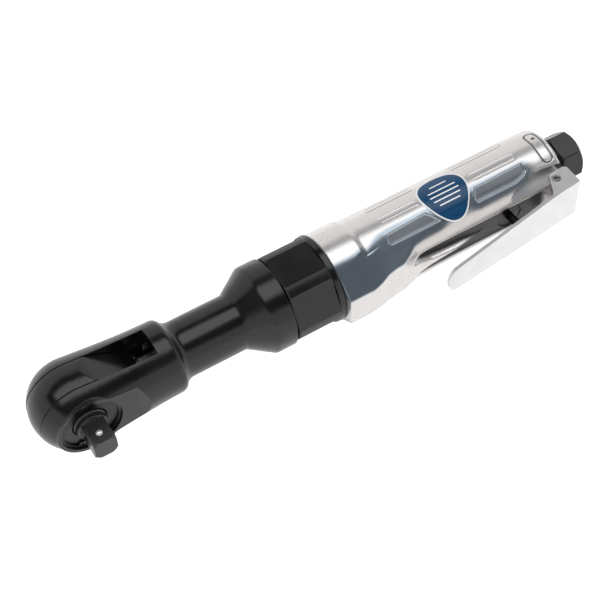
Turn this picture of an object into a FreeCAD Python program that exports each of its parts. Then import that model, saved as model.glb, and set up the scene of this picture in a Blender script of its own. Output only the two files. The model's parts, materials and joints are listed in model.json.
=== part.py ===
import FreeCAD, Part
import math
import os

os.makedirs("parts", exist_ok=True)

V = FreeCAD.Vector

# Air ratchet with a three-eighths square drive. Millimetres, +X from the head to the air inlet,
# the square drive and the lever point to -Y. Shapes are drawn about the tool axis and moved at
# the end so that the origin is the middle of the drive's root.

# Driving dimensions
DRIVE_SQUARE = 9.525
DRIVE_ROOT = 14.2
DRIVE_TIP = 24.9
HEAD_RADIUS = 15.6
NOSE_RADIUS = 18.5
NOSE_X = -1.0
COLLAR_RADIUS = 14.5
EAR_FACE = 13.3
SLOT_HALF = 6.6
SLOT_END = 33.5
NECK_RADIUS = 12.0
FLANGE_RADIUS = 19.0
NUT_ACROSS_FLATS = 36.0
NUT_TURNED_RADIUS = 19.6
BODY_RADIUS = 18.6
TOOTH_COUNT = 48
ECCENTRICITY = 3.0
SUN_TEETH = 12
PLANET_TEETH = 15
RING_TEETH = SUN_TEETH + 2 * PLANET_TEETH
GEAR_MODULE = 0.6
MOTOR_RADIUS = 12.85
RUNNING_GAP = 0.05
FIT_GAP = 0.02
SHEET = 1.6
LEVER_OPEN_ANGLE = 7.5

# Stations along the tool axis
BODY_REAR = 38.5
NECK_START = 45.7
NECK_END = 69.4
CONE_END = 80.5
FLANGE_END = 88.8
SPIGOT_END = 98.4
NUT_FRONT = 89.1
NUT_REAR = 108.7
RING_REAR = 111.5
HOUSING_FRONT = 111.6
HOUSING_REAR = 222.5
HOUSING_SPIGOT = 98.9
HEX_REAR = 237.6

# Radii of the bores in the head
CRANK_BORE = 8.5
CARRIER_BORE = 12.3
GEAR_BORE = 15.05
SPIGOT_RADIUS = 16.6

# Valve and lever stations
VALVE_X = 194.5
PIN_X = 217.3
PIN_Y = -15.6
LEVER_HALF = 10.0
LEVER_TIP_X = 157.0
LEVER_TIP_HALF = 6.4


def axis_cylinder(radius, start, end):
    # Round bar along the tool axis.
    return Part.makeCylinder(radius, end - start, V(start, 0, 0), V(1, 0, 0))


def cross_cylinder(radius, y_from, y_to, x=0.0, z=0.0):
    # Round bar along Y.
    return Part.makeCylinder(radius, y_to - y_from, V(x, y_from, z), V(0, 1, 0))


def pin_cylinder(radius, z_from, z_to, x, y):
    # Round bar along Z.
    return Part.makeCylinder(radius, z_to - z_from, V(x, y, z_from), V(0, 0, 1))


def block(x_from, x_to, y_from, y_to, z_from, z_to):
    # Rectangular block between two corners.
    return Part.makeBox(x_to - x_from, y_to - y_from, z_to - z_from, V(x_from, y_from, z_from))


def tube(outer, inner, start, end):
    # Round sleeve along the tool axis.
    return axis_cylinder(outer, start, end).cut(axis_cylinder(inner, start - 1, end + 1))


def turned(points):
    # Solid of revolution about the tool axis from (x, radius) points.
    corners = [V(x, 0, r) for x, r in points]
    face = Part.Face(Part.makePolygon(corners + [corners[0]]))
    return face.revolve(V(0, 0, 0), V(1, 0, 0), 360)


def turned_cross(points):
    # Solid of revolution about the drive axis from (y, radius) points.
    corners = [V(r, y, 0) for y, r in points]
    face = Part.Face(Part.makePolygon(corners + [corners[0]]))
    return face.revolve(V(0, 0, 0), V(0, 1, 0), 360)


def prism_x(points, start, end):
    # Straight prism along X from (y, z) points.
    corners = [V(start, y, z) for y, z in points]
    face = Part.Face(Part.makePolygon(corners + [corners[0]]))
    return face.extrude(V(end - start, 0, 0))


def prism_y(points, y_from, y_to):
    # Straight prism along Y from (x, z) points.
    corners = [V(x, y_from, z) for x, z in points]
    face = Part.Face(Part.makePolygon(corners + [corners[0]]))
    return face.extrude(V(0, y_to - y_from, 0))


def prism_z(points, z_from, z_to):
    # Straight prism along Z from (x, y) points.
    corners = [V(x, y, z_from) for x, y in points]
    face = Part.Face(Part.makePolygon(corners + [corners[0]]))
    return face.extrude(V(0, 0, z_to - z_from))


def polar(radius, degrees):
    # Point on a circle.
    angle = math.radians(degrees)
    return (radius * math.cos(angle), radius * math.sin(angle))


def hexagon(across_flats, turn=0.0):
    # Corner points of a hexagon, (y, z).
    radius = across_flats / math.sqrt(3)
    return [polar(radius, 60 * i + turn) for i in range(6)]


def gear(teeth, module, start, end, turn=0.0):
    # Outside gear with straight flanks along the tool axis. turn places a tooth centre.
    pitch_radius = module * teeth / 2
    tip = pitch_radius + 0.85 * module
    root = pitch_radius - 1.15 * module
    step = 360.0 / teeth
    points = []
    for i in range(teeth):
        centre = turn + i * step
        points.append(polar(root, centre - 0.34 * step))
        points.append(polar(tip, centre - 0.11 * step))
        points.append(polar(tip, centre + 0.11 * step))
        points.append(polar(root, centre + 0.34 * step))
    return prism_x(points, start, end)


# ---------------------------------------------------------------- head

def egg(shrink, x_to):
    # Egg-shaped outside of the head: ball in front, slowly narrowing behind it.
    ball = Part.makeSphere(NOSE_RADIUS - shrink, V(NOSE_X, 0, 0))
    ball = ball.common(block(-40, NOSE_X, -30, 30, -30, 30))
    points = [V(NOSE_X, NOSE_RADIUS - shrink, 0)]
    for i in range(1, 9):
        t = i / 8
        narrowing = (NOSE_RADIUS - HEAD_RADIUS) * (1 - (1 - t) ** 1.6) * (1 - 0.25 * (1 - t) ** 6)
        points.append(V(NOSE_X + (x_to - NOSE_X) * t, NOSE_RADIUS - shrink - narrowing, 0))
    curve = Part.BSplineCurve()
    curve.interpolate(Points=points)
    foot_rear = V(x_to, 0, 0)
    foot_front = V(NOSE_X, 0, 0)
    edges = [curve.toShape(), Part.makeLine(points[-1], foot_rear), Part.makeLine(foot_rear, foot_front),
             Part.makeLine(foot_front, points[0])]
    outline = Part.Face(Part.Wire(edges))
    return ball.fuse(outline.revolve(V(0, 0, 0), V(1, 0, 0), 360))


def head_outside():
    # Ears, round body, neck, cone and flange in one forging.
    collar = cross_cylinder(COLLAR_RADIUS, -EAR_FACE, -9.0)
    nose = egg(0.0, BODY_REAR)
    shoulder = 3.0
    profile = [(BODY_REAR - 0.5, 0.0), (BODY_REAR - 0.5, HEAD_RADIUS)]
    steps = 8
    for i in range(steps + 1):
        angle = math.radians(78.0 * i / steps)
        x = BODY_REAR + shoulder * math.sin(angle)
        profile.append((x, HEAD_RADIUS - shoulder * (1 - math.cos(angle)) * 0.72))
    last_x, last_r = profile[-1]
    for i in range(1, steps + 1):
        t = i / steps
        x = last_x + (NECK_START - last_x) * t
        profile.append((x, NECK_RADIUS + (last_r - NECK_RADIUS) * (1 - t) ** 2.2))
    profile += [(NECK_END, NECK_RADIUS), (NECK_END + 0.8, NECK_RADIUS + 0.3)]
    profile += [(CONE_END - 1.6, FLANGE_RADIUS - 1.0), (CONE_END - 0.6, FLANGE_RADIUS - 0.3)]
    profile += [(CONE_END + 0.4, FLANGE_RADIUS), (FLANGE_END - 0.4, FLANGE_RADIUS)]
    profile += [(FLANGE_END, FLANGE_RADIUS - 0.4), (FLANGE_END, SPIGOT_RADIUS)]
    profile += [(SPIGOT_END - 0.5, SPIGOT_RADIUS), (SPIGOT_END, SPIGOT_RADIUS - 0.5)]
    profile += [(SPIGOT_END, 0.0)]
    return nose.fuse(turned(profile)).fuse(collar)


def ratchet_head():
    # Forked head with the bores for crank, gears, anvil and reverse knob.
    head = head_outside()
    slot = block(-25, SLOT_END, -SLOT_HALF, SLOT_HALF, -20, 20)
    bores = [
        axis_cylinder(CRANK_BORE, SLOT_END - 1, 80),
        turned([(76.5, 0), (76.5, CRANK_BORE), (78.2, CARRIER_BORE), (80.5, CARRIER_BORE), (80.5, 0)]),
        axis_cylinder(CARRIER_BORE, 80, 84.6),
        axis_cylinder(GEAR_BORE, 84.5, SPIGOT_END + 1),
        cross_cylinder(10.0, -EAR_FACE - 5, -SLOT_HALF + 1),
        cross_cylinder(13.0, -EAR_FACE - 5, -9.6),
        cross_cylinder(13.7, -12.3, -11.25),
        cross_cylinder(8.05, SLOT_HALF - 1, EAR_FACE + 5),
        cross_cylinder(10.05, 11.4, EAR_FACE + 5),
    ]
    ramps = [
        prism_z([(-30, -EAR_FACE), (20.4, -EAR_FACE), (26.0, -18.0), (20.0, -30), (-30, -30)], -20, 20),
        prism_z([(-30, EAR_FACE), (20.4, EAR_FACE), (26.0, 18.0), (20.0, 30), (-30, 30)], -20, 20),
    ]
    head = head.cut(slot)
    for tool in bores + ramps:
        head = head.cut(tool)
    return head.removeSplitter()


def retaining_ring():
    # Internal snap ring with two drilled lugs.
    ring = cross_cylinder(13.6, -12.2, -11.35).cut(cross_cylinder(12.0, -13, -10))
    gap = prism_y([(0, 0)] + [polar(20, a) for a in (-112, -90, -68)], -13, -10)
    ring = ring.cut(gap)
    for side in (-1, 1):
        x, z = polar(11.6, -90 + side * 26)
        lug = cross_cylinder(1.7, -12.2, -11.35, x, z)
        ring = ring.fuse(lug).cut(cross_cylinder(0.75, -13, -10, x, z))
    return ring.common(cross_cylinder(13.6, -13, -11)).removeSplitter()


def thrust_plate():
    # Washer that carries the anvil's shoulder on the drive side.
    return turned_cross([(-9.62, 12.95), (-9.62, 7.05), (-10.7, 7.05), (-11.25, 7.6), (-11.25, 12.95)])


# ---------------------------------------------------------------- ratchet

RING_ROOT = 11.2
RING_TIP = 10.35
YOKE_HALF = 6.2
YOKE_INSET = 0.15
FORK_X = 23.4
BUSHING_RADIUS = 3.4
FORK_GAP = 0.36


def ratchet_yoke():
    # Drum with internal teeth and a tail forked round the crank's bushing.
    drum = cross_cylinder(NOSE_RADIUS, -YOKE_HALF, YOKE_HALF, NOSE_X)
    tail_half = BUSHING_RADIUS + FORK_GAP + 2.2
    leave = math.radians(28.2)
    leave_x = NOSE_X + NOSE_RADIUS * math.sin(leave)
    leave_z = NOSE_RADIUS * math.cos(leave)
    tail = prism_y([(leave_x, leave_z), (FORK_X + 3.1, tail_half), (FORK_X + 3.1, -tail_half),
                    (leave_x, -leave_z)], -YOKE_HALF, YOKE_HALF)
    yoke = drum.fuse(tail).common(egg(YOKE_INSET, BODY_REAR))
    fork = block(FORK_X - 4.2, FORK_X + 8, -8, 8, -(BUSHING_RADIUS + FORK_GAP), BUSHING_RADIUS + FORK_GAP)
    step = 360.0 / TOOTH_COUNT
    points = []
    for i in range(TOOTH_COUNT):
        points.append(polar(RING_TIP, (i - 0.40) * step))
        points.append(polar(RING_ROOT, (i - 0.06) * step))
        points.append(polar(RING_ROOT, (i + 0.06) * step))
        points.append(polar(RING_TIP, (i + 0.40) * step))
    serration = prism_y(points, -8, 8)
    return yoke.cut(fork).cut(serration).removeSplitter()


PAWL_PIVOT = 7.6
PAWL_ANGLE = 10.0
PAWL_TOP = 4.9


def pawl_outline():
    # Rocker outline in the anvil's plane, (x, z), teeth drawn in the neutral position.
    half_angle = 42.0
    tip = 9.4
    points = []
    for i in range(9):
        points.append(polar(tip, -half_angle + i * half_angle / 4))
    points.append((4.8, 5.2))
    points.append((4.0, 1.6))
    points.append((4.0, -1.6))
    points.append((4.8, -5.2))
    return points


def pawl_teeth():
    # Two teeth at each end, placed by turning the engaged shape back to neutral.
    teeth = []
    step = 360.0 / TOOTH_COUNT
    for side in (-1, 1):
        for number in (4, 5):
            angle = side * number * step
            half = 0.26 * step
            tip = RING_TIP + 0.38
            foot = RING_TIP - 2.2
            outline = [polar(foot, angle - 1.5 * half), polar(RING_TIP - 0.2, angle - half),
                       polar(tip, angle - 0.3 * half), polar(tip, angle + 0.3 * half),
                       polar(RING_TIP - 0.2, angle + half), polar(foot, angle + 1.5 * half)]
            tooth = prism_y(outline, -PAWL_TOP, PAWL_TOP)
            tooth.rotate(V(PAWL_PIVOT, 0, 0), V(0, 1, 0), -side * PAWL_ANGLE)
            teeth.append(tooth)
    return teeth


def ratchet_pawl():
    # Two-ended rocker that locks the anvil to the yoke one way or the other.
    pawl = prism_y(pawl_outline(), -PAWL_TOP, PAWL_TOP)
    keep = cross_cylinder(10.2, -8, 8)
    for tooth in pawl_teeth():
        pawl = pawl.fuse(tooth)
    pawl = pawl.common(keep)
    pawl = pawl.cut(cross_cylinder(1.25 + RUNNING_GAP, -8, 8, PAWL_PIVOT, 0))
    return pawl.removeSplitter()


def square_drive():
    # Male square with rounded corners and a chamfered tip.
    half = DRIVE_SQUARE / 2
    square = block(-half, half, -DRIVE_TIP, -DRIVE_ROOT, -half, half)
    tip = turned_cross([(-DRIVE_TIP - 1, 0), (-DRIVE_TIP, 5.3), (-DRIVE_TIP + 1.1, 6.35),
                        (-DRIVE_ROOT + 1, 6.35), (-DRIVE_ROOT + 1, 0)])
    return square.common(tip)


def ratchet_anvil():
    # Output piece: square drive, shoulders, journals and the pocket for the pawl.
    anvil = turned_cross([(-DRIVE_ROOT, 0), (-DRIVE_ROOT, 6.0), (-DRIVE_ROOT + 0.5, 6.4), (-11.9, 6.4),
                          (-11.4, 7.0), (-9.55, 7.0), (-9.55, 9.95), (-6.9, 9.95), (-6.5, 9.55),
                          (6.4, 9.55), (6.4, 8.0), (11.2, 8.0), (11.2, 0)])
    anvil = anvil.fuse(square_drive())
    pocket = prism_y([(1.9, -3.2), (3.6, -6.8), (14, -12), (14, 12), (3.6, 6.8), (1.9, 3.2)],
                     -PAWL_TOP - 0.1, PAWL_TOP + 0.1)
    anvil = anvil.cut(pocket)
    anvil = anvil.cut(cross_cylinder(1.25 + FIT_GAP, -8.0, 6.45, PAWL_PIVOT, 0))
    anvil = anvil.cut(cross_cylinder(3.5, -3.4, 20))
    ball_hole = pin_cylinder(1.62, -1.5, 6, 0, -20.2)
    return anvil.cut(ball_hole).removeSplitter()


def pawl_pin():
    # Cross pin the pawl rocks on.
    return cross_cylinder(1.25, -7.9, 6.3, PAWL_PIVOT, 0)


def detent_ball():
    # Ball that holds a socket on the square.
    return Part.makeSphere(1.6, V(0, -20.2, DRIVE_SQUARE / 2 - 1.0))


def detent_spring():
    # Small coil under the ball.
    return coil(1.15, 0.25, -1.35, 2.05, 4, 0, -20.2)


def coil(radius, wire, z_from, z_to, turns, x, y):
    # Round-wire coil along Z.
    pitch = (z_to - z_from - 2 * wire) / turns
    helix = Part.makeHelix(pitch, pitch * turns, radius)
    circle = Part.Wire(Part.Circle(V(radius, 0, 0), V(0, 1, 0), wire).toShape())
    spring = Part.Wire(helix).makePipeShell([circle], True, True)
    spring.translate(V(x, y, z_from + wire))
    return spring


def reverse_knob():
    # Turn knob on the back of the head, its stem reaches down to the pawl.
    knob = turned_cross([(11.5, 0), (11.5, 9.6), (11.9, 10.0), (13.4, 10.0), (14.0, 9.4), (14.0, 0)])
    grip = prism_y([(-8.6, -2.4), (8.6, -2.4), (9.3, 0), (8.6, 2.4), (-8.6, 2.4), (-9.3, 0)], 13.5, 17.2)
    stem = cross_cylinder(3.45, -3.2, 12)
    plunger_hole = Part.makeCylinder(1.1, 5.0, V(-1.2, 0, 0), V(1, 0, 0))
    knob = knob.fuse(grip).fuse(stem).cut(plunger_hole)
    nose_relief = block(2.75, 5, -3.3, 5.2, -5, 5)
    dimple = Part.makeSphere(0.9, V(7.4, 17.5, 0))
    return knob.cut(nose_relief).cut(dimple).removeSplitter()


def pawl_plunger():
    # Round-nosed plunger in the knob's stem that tips the pawl over.
    body = Part.makeCylinder(1.05, 2.0, V(0.9, 0, 0), V(1, 0, 0))
    nose = Part.makeSphere(0.85, V(2.85, 0, 0))
    return body.fuse(nose).removeSplitter()


def plunger_spring():
    # Coil behind the plunger.
    spring = coil(0.8, 0.14, -1.05, 0.85, 4, 0, 0)
    spring.rotate(V(0, 0, 0), V(0, 1, 0), 90)
    return spring


# ---------------------------------------------------------------- crank and gears

WEB_FRONT = 34.2
CARRIER_FRONT = 80.9
CARRIER_REAR = 84.3
GEAR_FRONT = 84.9
GEAR_REAR = 92.4
CARRIER_CIRCLE = GEAR_MODULE * (SUN_TEETH + PLANET_TEETH) / 2
PLANET_PIN_RADIUS = 1.5
CRANK_PIN_RADIUS = 2.1


def crankshaft():
    # Shaft with an offset pin in front and the planet carrier behind.
    shaft = axis_cylinder(5.5, WEB_FRONT, CARRIER_REAR)
    web = axis_cylinder(CRANK_BORE - 0.08, WEB_FRONT, WEB_FRONT + 6.0)
    collar = turned([(74.6, 0), (74.6, 7.2), (79.0, 7.2), (CARRIER_FRONT, 11.0), (CARRIER_REAR, 11.0),
                     (CARRIER_REAR, 0)])
    pin = Part.makeCylinder(CRANK_PIN_RADIUS, WEB_FRONT - 20.2, V(20.3, ECCENTRICITY, 0), V(1, 0, 0))
    flat = Part.makeCylinder(3.2, 6.2, V(28.2, ECCENTRICITY, 0), V(1, 0, 0))
    crank = shaft.fuse(web).fuse(collar).fuse(flat).fuse(pin)
    for i in range(3):
        y, z = polar(CARRIER_CIRCLE, 120 * i)
        hole = Part.makeCylinder(PLANET_PIN_RADIUS + FIT_GAP, 10, V(CARRIER_FRONT - 2, y, z), V(1, 0, 0))
        crank = crank.cut(hole)
    relief = axis_cylinder(3.6, CARRIER_REAR - 1.2, CARRIER_REAR + 1)
    return crank.cut(relief).removeSplitter()


def drive_bushing():
    # Barrel-shaped bushing on the crank pin, it pushes the yoke's fork.
    barrel = Part.makeSphere(BUSHING_RADIUS, V(FORK_X, ECCENTRICITY, 0))
    trim = block(FORK_X - 2.9, FORK_X + 2.9, -10, 10, -10, 10)
    bore = Part.makeCylinder(CRANK_PIN_RADIUS + RUNNING_GAP, 20, V(FORK_X - 10, ECCENTRICITY, 0), V(1, 0, 0))
    return barrel.common(trim).cut(bore)


def needle_bearing(start, end):
    # Drawn-cup bearing: cup and a ring of needles as one bought piece.
    cup = tube(CRANK_BORE - FIT_GAP, 7.7, start, end)
    lips = tube(7.9, 6.1, start, start + 0.7).fuse(tube(7.9, 6.1, end - 0.7, end))
    race = cup.fuse(lips)
    needles = []
    for i in range(16):
        y, z = polar(6.65, 22.5 * i)
        needles.append(Part.makeCylinder(1.07, end - start - 1.2, V(start + 0.6, y, z), V(1, 0, 0)))
    for needle in needles:
        race = race.fuse(needle)
    return race.removeSplitter()


def planet_gear(index):
    # Planet gear on its carrier pin.
    wheel = gear(PLANET_TEETH, GEAR_MODULE, GEAR_FRONT, GEAR_REAR, 120.0 * index)
    wheel = wheel.cut(axis_cylinder(PLANET_PIN_RADIUS + RUNNING_GAP, GEAR_FRONT - 1, GEAR_REAR + 1))
    y, z = polar(CARRIER_CIRCLE, 120 * index)
    wheel.translate(V(0, y, z))
    return wheel


def planet_pins():
    # Three carrier pins.
    pins = []
    for i in range(3):
        y, z = polar(CARRIER_CIRCLE, 120 * i)
        pins.append(Part.makeCylinder(PLANET_PIN_RADIUS, 11.7, V(CARRIER_FRONT + 0.1, y, z), V(1, 0, 0)))
    return Part.makeCompound(pins)


def ring_gear():
    # Fixed internal gear clamped in the head's rear bore.
    outer = axis_cylinder(GEAR_BORE - FIT_GAP, 84.8, 94.9)
    pitch_radius = GEAR_MODULE * RING_TEETH / 2
    tip = pitch_radius - 0.85 * GEAR_MODULE
    root = pitch_radius + 1.2 * GEAR_MODULE
    step = 360.0 / RING_TEETH
    points = []
    for i in range(RING_TEETH):
        centre = i * step
        points.append(polar(tip, centre - 0.36 * step))
        points.append(polar(root, centre - 0.13 * step))
        points.append(polar(root, centre + 0.13 * step))
        points.append(polar(tip, centre + 0.36 * step))
    teeth = prism_x(points, 84, 96)
    relief = axis_cylinder(CARRIER_BORE + 1.0, 93.1, 96)
    return outer.cut(teeth).cut(relief)


def gear_washer():
    # Thrust washer between the planets and the front end plate.
    return tube(13.1, 4.8, 93.2, 94.2)


def spacer_plate():
    # Spacer between the ring gear and the motor.
    plate = tube(GEAR_BORE - FIT_GAP, 4.8, 95.0, 98.6)
    step_bore = axis_cylinder(8.0, 94, 96.2)
    return plate.cut(step_bore)


# ---------------------------------------------------------------- motor

PLATE_FRONT = 99.2
CYLINDER_FRONT = 105.4
CYLINDER_REAR = 150.4
PLATE_REAR = 156.4
ROTOR_RADIUS = 9.5
LINER_RADIUS = 10.56
LINER_OFFSET = 1.0
SHAFT_RADIUS = 3.0
BEARING_OUTER = 8.0
DOWEL_RADIUS = 1.0
DOWEL_CIRCLE = 11.4
BLADE_COUNT = 4


def end_plate(start, end, pocket_start, pocket_end):
    # Round plate closing the motor cylinder, with the ball bearing's pocket.
    plate = tube(MOTOR_RADIUS - FIT_GAP, SHAFT_RADIUS + 0.6, start, end)
    plate = plate.cut(axis_cylinder(BEARING_OUTER + FIT_GAP, pocket_start, pocket_end))
    z = DOWEL_CIRCLE
    dowel_hole = Part.makeCylinder(DOWEL_RADIUS + FIT_GAP, end - start + 2, V(start - 1, 0, z), V(1, 0, 0))
    return plate.cut(dowel_hole)


def front_end_plate():
    # Front plate of the vane motor.
    return end_plate(PLATE_FRONT, CYLINDER_FRONT, PLATE_FRONT - 1, PLATE_FRONT + 4.1)


def rear_end_plate():
    # Rear plate with the air holes into the cylinder.
    plate = end_plate(CYLINDER_REAR, PLATE_REAR, CYLINDER_REAR + 1.8, PLATE_REAR + 1)
    for angle in (200, 225, 250):
        y, z = polar(9.7, angle)
        plate = plate.cut(Part.makeCylinder(0.9, 20, V(CYLINDER_REAR - 5, y, z), V(1, 0, 0)))
    return plate


def bearing_outer(start):
    # Outer ring of a ball bearing with its shield.
    ring = tube(BEARING_OUTER, 6.7, start, start + 4.0)
    groove = Part.makeTorus(5.5, 1.45, V(start + 2.0, 0, 0), V(1, 0, 0))
    return ring.cut(groove)


def bearing_inner(start):
    # Inner ring of a ball bearing.
    ring = tube(4.3, SHAFT_RADIUS + FIT_GAP, start, start + 4.0)
    groove = Part.makeTorus(5.5, 1.45, V(start + 2.0, 0, 0), V(1, 0, 0))
    return ring.cut(groove)


def bearing_balls(start):
    # Seven balls of one bearing.
    balls = []
    for i in range(7):
        y, z = polar(5.5, 360.0 * i / 7)
        balls.append(Part.makeSphere(1.4, V(start + 2.0, y, z)))
    return Part.makeCompound(balls)


def motor_cylinder():
    # Off-centre bored liner with exhaust slots.
    liner = axis_cylinder(MOTOR_RADIUS - FIT_GAP, CYLINDER_FRONT + 0.05, CYLINDER_REAR - 0.05)
    bore = Part.makeCylinder(LINER_RADIUS, 60, V(CYLINDER_FRONT - 5, LINER_OFFSET, 0), V(1, 0, 0))
    dowel_start = V(CYLINDER_FRONT - 5, 0, DOWEL_CIRCLE)
    dowel_hole = Part.makeCylinder(DOWEL_RADIUS + FIT_GAP, 60, dowel_start, V(1, 0, 0))
    liner = liner.cut(bore).cut(dowel_hole)
    for i in range(6):
        x = CYLINDER_FRONT + 10 + i * 5.0
        for z in (-4.0, 0.0, 4.0):
            liner = liner.cut(Part.makeCylinder(1.1, 8, V(x, 8, z), V(0, 1, 0)))
    return liner


def cylinder_dowel():
    # Dowel that keeps plates and liner in line.
    length = PLATE_REAR - PLATE_FRONT - 0.4
    return Part.makeCylinder(DOWEL_RADIUS, length, V(PLATE_FRONT + 0.2, 0, DOWEL_CIRCLE), V(1, 0, 0))


def motor_rotor():
    # Slotted rotor with the sun pinion cut on its front shaft.
    core = axis_cylinder(ROTOR_RADIUS, CYLINDER_FRONT + 0.15, CYLINDER_REAR - 0.15)
    shaft = axis_cylinder(SHAFT_RADIUS, 92.8, PLATE_REAR - 0.2)
    pinion = gear(SUN_TEETH, GEAR_MODULE, GEAR_FRONT - 0.3, 93.0)
    for i in range(BLADE_COUNT):
        slot = block(CYLINDER_FRONT - 1, CYLINDER_REAR + 1, -0.8, 0.8, 3.9, 12)
        slot.rotate(V(0, 0, 0), V(1, 0, 0), 360.0 * i / BLADE_COUNT + 45)
        core = core.cut(slot)
    return core.fuse(shaft).fuse(pinion).removeSplitter()


def rotor_blade(index):
    # Flat blade resting at the bottom of its slot.
    blade = block(CYLINDER_FRONT + 0.3, CYLINDER_REAR - 0.3, -0.75, 0.75, 4.0, 9.4)
    blade.rotate(V(0, 0, 0), V(1, 0, 0), 360.0 * index / BLADE_COUNT + 45)
    return blade


# ---------------------------------------------------------------- nut and housing

def clamp_nut():
    # Hexagon nut turned round at its corners, it joins head and housing.
    nut = prism_x(hexagon(NUT_ACROSS_FLATS, 3.0), NUT_FRONT, NUT_REAR)
    chamfer = 0.5
    turned_blank = turned([(NUT_FRONT, 0), (NUT_FRONT, NUT_TURNED_RADIUS - chamfer),
                           (NUT_FRONT + chamfer, NUT_TURNED_RADIUS), (NUT_REAR - chamfer, NUT_TURNED_RADIUS),
                           (NUT_REAR, NUT_TURNED_RADIUS - chamfer), (NUT_REAR, 0)])
    nut = nut.common(turned_blank)
    return nut.cut(axis_cylinder(SPIGOT_RADIUS + RUNNING_GAP, NUT_FRONT - 1, NUT_REAR + 1))


def nut_ring():
    # Black ring between nut and housing.
    return turned([(NUT_REAR + 0.1, SPIGOT_RADIUS + RUNNING_GAP), (NUT_REAR + 0.1, 18.9),
                   (RING_REAR - 0.5, 19.2), (RING_REAR, 18.8), (RING_REAR, SPIGOT_RADIUS + RUNNING_GAP)])


def housing_section(x, radius, corner_y, corner_z, facet_y):
    # Housing outline across the tool axis: round back, two slanted faces and the lever face.
    facet_z = math.sqrt(radius * radius - facet_y * facet_y)
    top = V(x, facet_y, facet_z)
    bottom = V(x, facet_y, -facet_z)
    back = Part.Arc(top, V(x, radius, 0), bottom).toShape()
    low = V(x, corner_y, -corner_z)
    high = V(x, corner_y, corner_z)
    return Part.Wire([back, Part.makeLine(bottom, low), Part.makeLine(low, high), Part.makeLine(high, top)])


def housing_outside():
    # Loft through the housing's outlines.
    sections = [
        housing_section(HOUSING_FRONT, BODY_RADIUS, -21.6, 7.0, -1.9),
        housing_section(125.0, BODY_RADIUS - 0.1, -21.0, 6.8, -1.9),
        housing_section(137.0, BODY_RADIUS - 0.8, -19.4, 7.8, -3.4),
        housing_section(150.0, BODY_RADIUS - 1.1, -18.2, 8.4, -4.2),
        housing_section(205.0, BODY_RADIUS - 1.1, -18.0, 8.6, -4.2),
        housing_section(HOUSING_REAR, BODY_RADIUS - 1.8, -17.4, 8.8, -4.2),
    ]
    return Part.makeLoft(sections, True, True)


def soften(shape, radius, pick):
    # Round the picked edges, or leave the shape alone where that is impossible.
    edges = [e for e in shape.Edges if pick(e)]
    try:
        rounded = shape.makeFillet(radius, edges)
    except Part.OCCError:
        return shape
    return rounded if rounded.isValid() else shape


def rear_edge(edge):
    # Outline edges of the housing's rear end.
    return all(abs(v.X - HOUSING_REAR) < 0.01 for v in edge.Vertexes)


def grip_grooves():
    # Thin lengthwise grooves on the round side.
    grooves = []
    for start, end in ((139.0, 159.0), (184.0, 206.0)):
        for angle in (93, 113, 133, -93, -113, -133):
            y, z = polar(BODY_RADIUS - 1.1 + 0.35, 180 - angle)
            groove = Part.makeCylinder(0.75, end - start, V(start, y, z), V(1, 0, 0))
            grooves.append(groove)
    return grooves


def motor_housing():
    # Die-cast handle: motor bore, air passage, valve bore, inlet thread bore, exhaust slots.
    body = soften(housing_outside(), 1.6, rear_edge)
    spigot = turned([(HOUSING_SPIGOT, 0), (HOUSING_SPIGOT, SPIGOT_RADIUS - 0.5),
                     (HOUSING_SPIGOT + 0.5, SPIGOT_RADIUS), (HOUSING_FRONT + 1, SPIGOT_RADIUS),
                     (HOUSING_FRONT + 1, 0)])
    body = body.fuse(spigot)
    cuts = [
        axis_cylinder(MOTOR_RADIUS, HOUSING_SPIGOT - 1, PLATE_REAR + 4),
        axis_cylinder(8.0, PLATE_REAR + 3, 176.0),
        axis_cylinder(4.0, 170.0, VALVE_X),
        axis_cylinder(8.2, 203.0, HOUSING_REAR + 1),
        axis_cylinder(4.0, VALVE_X, 204.0),
        cross_cylinder(5.6, -24, 7.5, VALVE_X),
        pin_cylinder(2.0 + RUNNING_GAP, -20, 20, PIN_X, PIN_Y),
    ]
    near = LEVER_HALF - SHEET - 0.15
    for side in (-1, 1):
        far = 21.0
        z_from, z_to = (near, far) if side > 0 else (-far, -near)
        cuts.append(block(206.0, HOUSING_REAR + 1, -24, -9.6, z_from, z_to))
        cuts.append(pin_cylinder(6.0, z_from, z_to, 206.0, -15.6))
    cuts.append(block(HOUSING_REAR - 0.6, HOUSING_REAR + 3, -24, -9.6, -near - 0.2, near + 0.2))
    for i in range(5):
        x = 118.0 + 4.2 * i
        slot = block(x, x + 2.0, 8, 24, -6.5, 6.5)
        cuts.append(slot)
    for tool in cuts + grip_grooves():
        body = body.cut(tool)
    return body


# ---------------------------------------------------------------- inlet, valve and lever

INLET_MINOR = 5.72
INLET_FLATS = 19.2
HEX_FRONT = 227.4


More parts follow.
